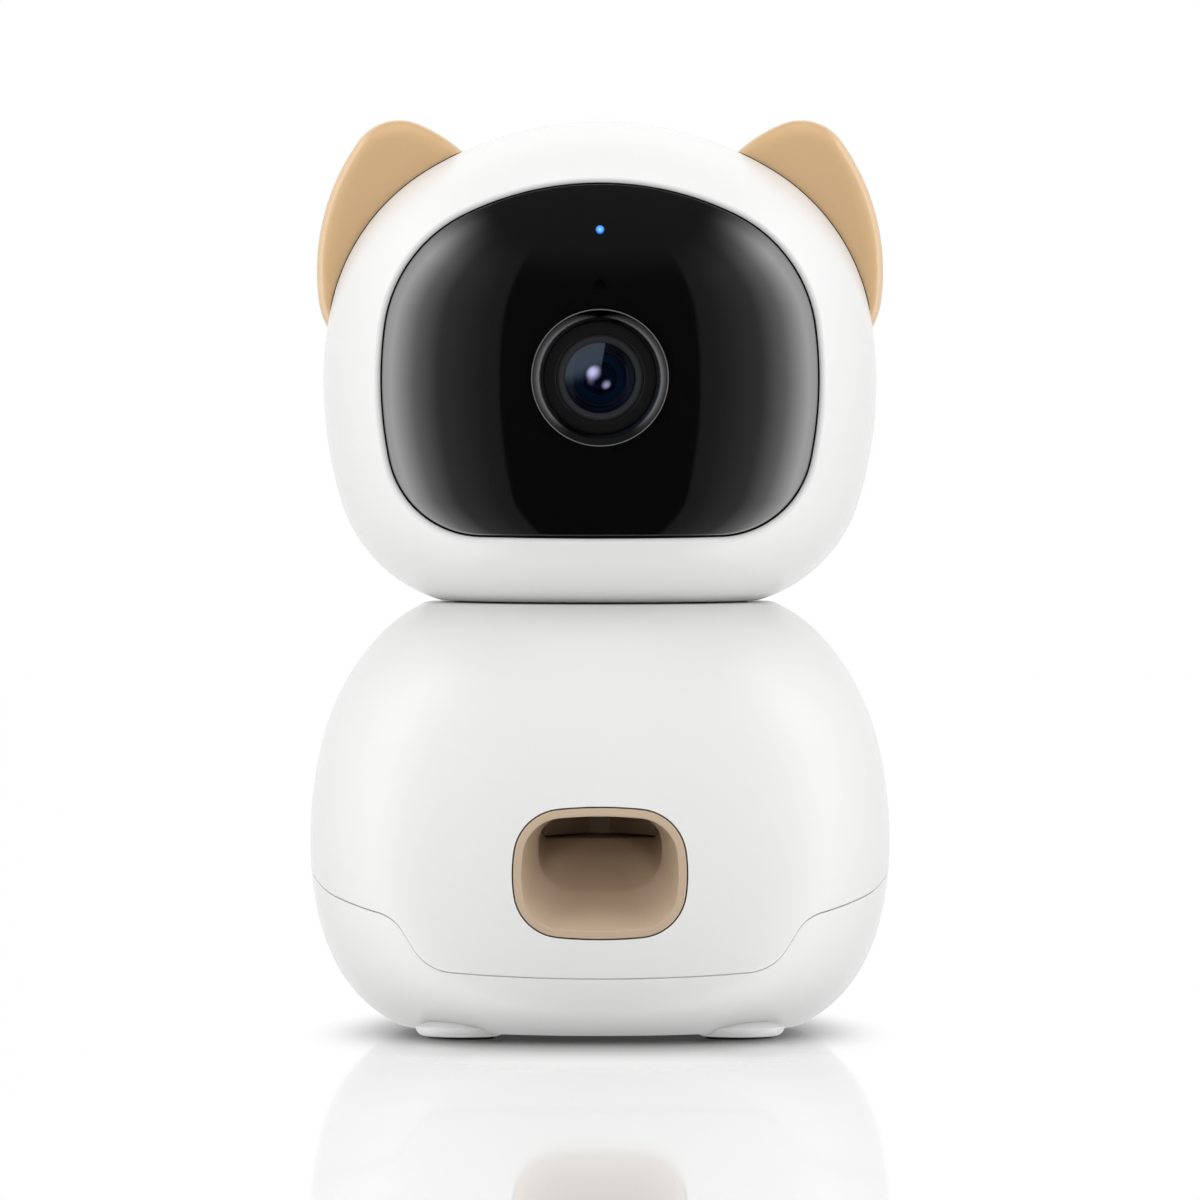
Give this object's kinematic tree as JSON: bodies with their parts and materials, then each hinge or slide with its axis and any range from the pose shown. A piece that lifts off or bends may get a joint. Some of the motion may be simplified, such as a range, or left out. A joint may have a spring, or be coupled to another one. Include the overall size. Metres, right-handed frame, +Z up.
{
  "type": "pet camera",
  "caption": "Ball-headed indoor pet camera with cat ears, black visor, tilting lens, turning head and a treat chute at the foot.",
  "frame": {"origin": "centre of the outline on the resting plane under the feet", "axes": "+Z up, -Y towards the front with the lens and chute, +X to the right in the front view"},
  "size_m": [0.13, 0.1297, 0.2036],
  "materials": {
    "shell_white": "gloss",
    "ear_tan": "satin",
    "visor_black": "gloss",
    "lens_black": "satin",
    "dark_metal": "satin",
    "optical_glass": "gloss",
    "rubber_dark": "matte",
    "steel": "brushed",
    "gear_cream": "satin",
    "inner_grey": "matte",
    "board_green": "satin",
    "chip_black": "matte",
    "button_grey": "satin",
    "status_blue": "gloss"
  },
  "bodies": {
    "base": {"ballast_plate": "steel", "base_board": "board_green", "base_board_chips": "chip_black", "base_shell_lower": "shell_white", "base_shell_upper": "shell_white", "deck_screws": "steel", "foot_pads": "rubber_dark", "hopper_bin": "inner_grey", "hopper_roof": "inner_grey", "inlet_board": "board_green", "neck_bearing": "gear_cream", "pairing_switch": "chip_black", "pan_motor": "steel", "power_socket": "steel", "rotor_deck": "inner_grey", "rotor_motor": "steel", "rotor_motor_bracket": "steel", "shell_screws": "steel", "treat_chute": "ear_tan"},
    "head": {"head_shell_front": "shell_white", "head_shell_rear": "shell_white", "left_ear": "ear_tan", "right_ear": "ear_tan", "visor": "visor_black", "visor_gasket": "rubber_dark", "status_light": "status_blue", "microphone": "lens_black", "front_board": "board_green", "lens_bezel": "dark_metal", "lens_frame": "lens_black", "tilt_motor": "steel", "tilt_plate": "steel", "speaker": "chip_black", "speaker_gasket": "rubber_dark", "head_board": "board_green", "head_board_chips": "chip_black", "head_floor": "inner_grey", "head_screws": "steel", "pan_hub": "gear_cream", "pan_shaft": "steel"},
    "lens": {"lens_ball": "lens_black", "trunnion_pins": "steel", "lens_barrel": "lens_black", "front_glass": "optical_glass", "inner_lens": "optical_glass", "iris_ring": "lens_black", "image_sensor_board": "board_green", "tilt_sector": "gear_cream"},
    "tilt_drive": {"tilt_pinion": "gear_cream", "tilt_motor_shaft": "steel"},
    "rotor": {"treat_rotor": "inner_grey", "rotor_gear": "gear_cream"},
    "rotor_drive": {"rotor_pinion": "gear_cream", "rotor_motor_shaft": "steel"},
    "shutter": {"fill_shutter": "lens_black"},
    "button": {"pairing_button": "button_grey"}
  },
  "joints": [
    {"name": "head_pan", "type": "hinge", "parent": "base", "child": "head", "pos_m": [0, 0, 0.096], "axis": [0, 0, 1], "range_deg": [-170, 170]},
    {"name": "lens_tilt", "type": "hinge", "parent": "head", "child": "lens", "pos_m": [0, -0.04937, 0.14552], "axis": [1, 0, 0], "range_deg": [-14, 14]},
    {"name": "tilt_drive_turn", "type": "hinge", "parent": "head", "child": "tilt_drive", "pos_m": [0.022, -0.02737, 0.14552], "axis": [1, 0, 0], "range_deg": [-60, 60]},
    {"name": "rotor_turn", "type": "hinge", "parent": "base", "child": "rotor", "pos_m": [0, 0, 0.0437], "axis": [0, 0, 1], "continuous": true},
    {"name": "rotor_drive_turn", "type": "hinge", "parent": "base", "child": "rotor_drive", "pos_m": [0, 0.024, 0.038], "axis": [0, 0, 1], "continuous": true},
    {"name": "shutter_turn", "type": "hinge", "parent": "base", "child": "shutter", "pos_m": [0, 0, 0.068], "axis": [0, 0, 1], "range_deg": [0, 35]},
    {"name": "button_press", "type": "slide", "parent": "base", "child": "button", "axis": [0, -1, 0], "range_m": [0, 0.0011], "stiffness_N_per_m": 300, "springref_m": -0.001}
  ],
  "couplings": [
    {"joint": "rotor_drive_turn", "follows": "rotor_turn", "ratio": -3},
    {"joint": "tilt_drive_turn", "follows": "lens_tilt", "ratio": -2.6667}
  ]
}
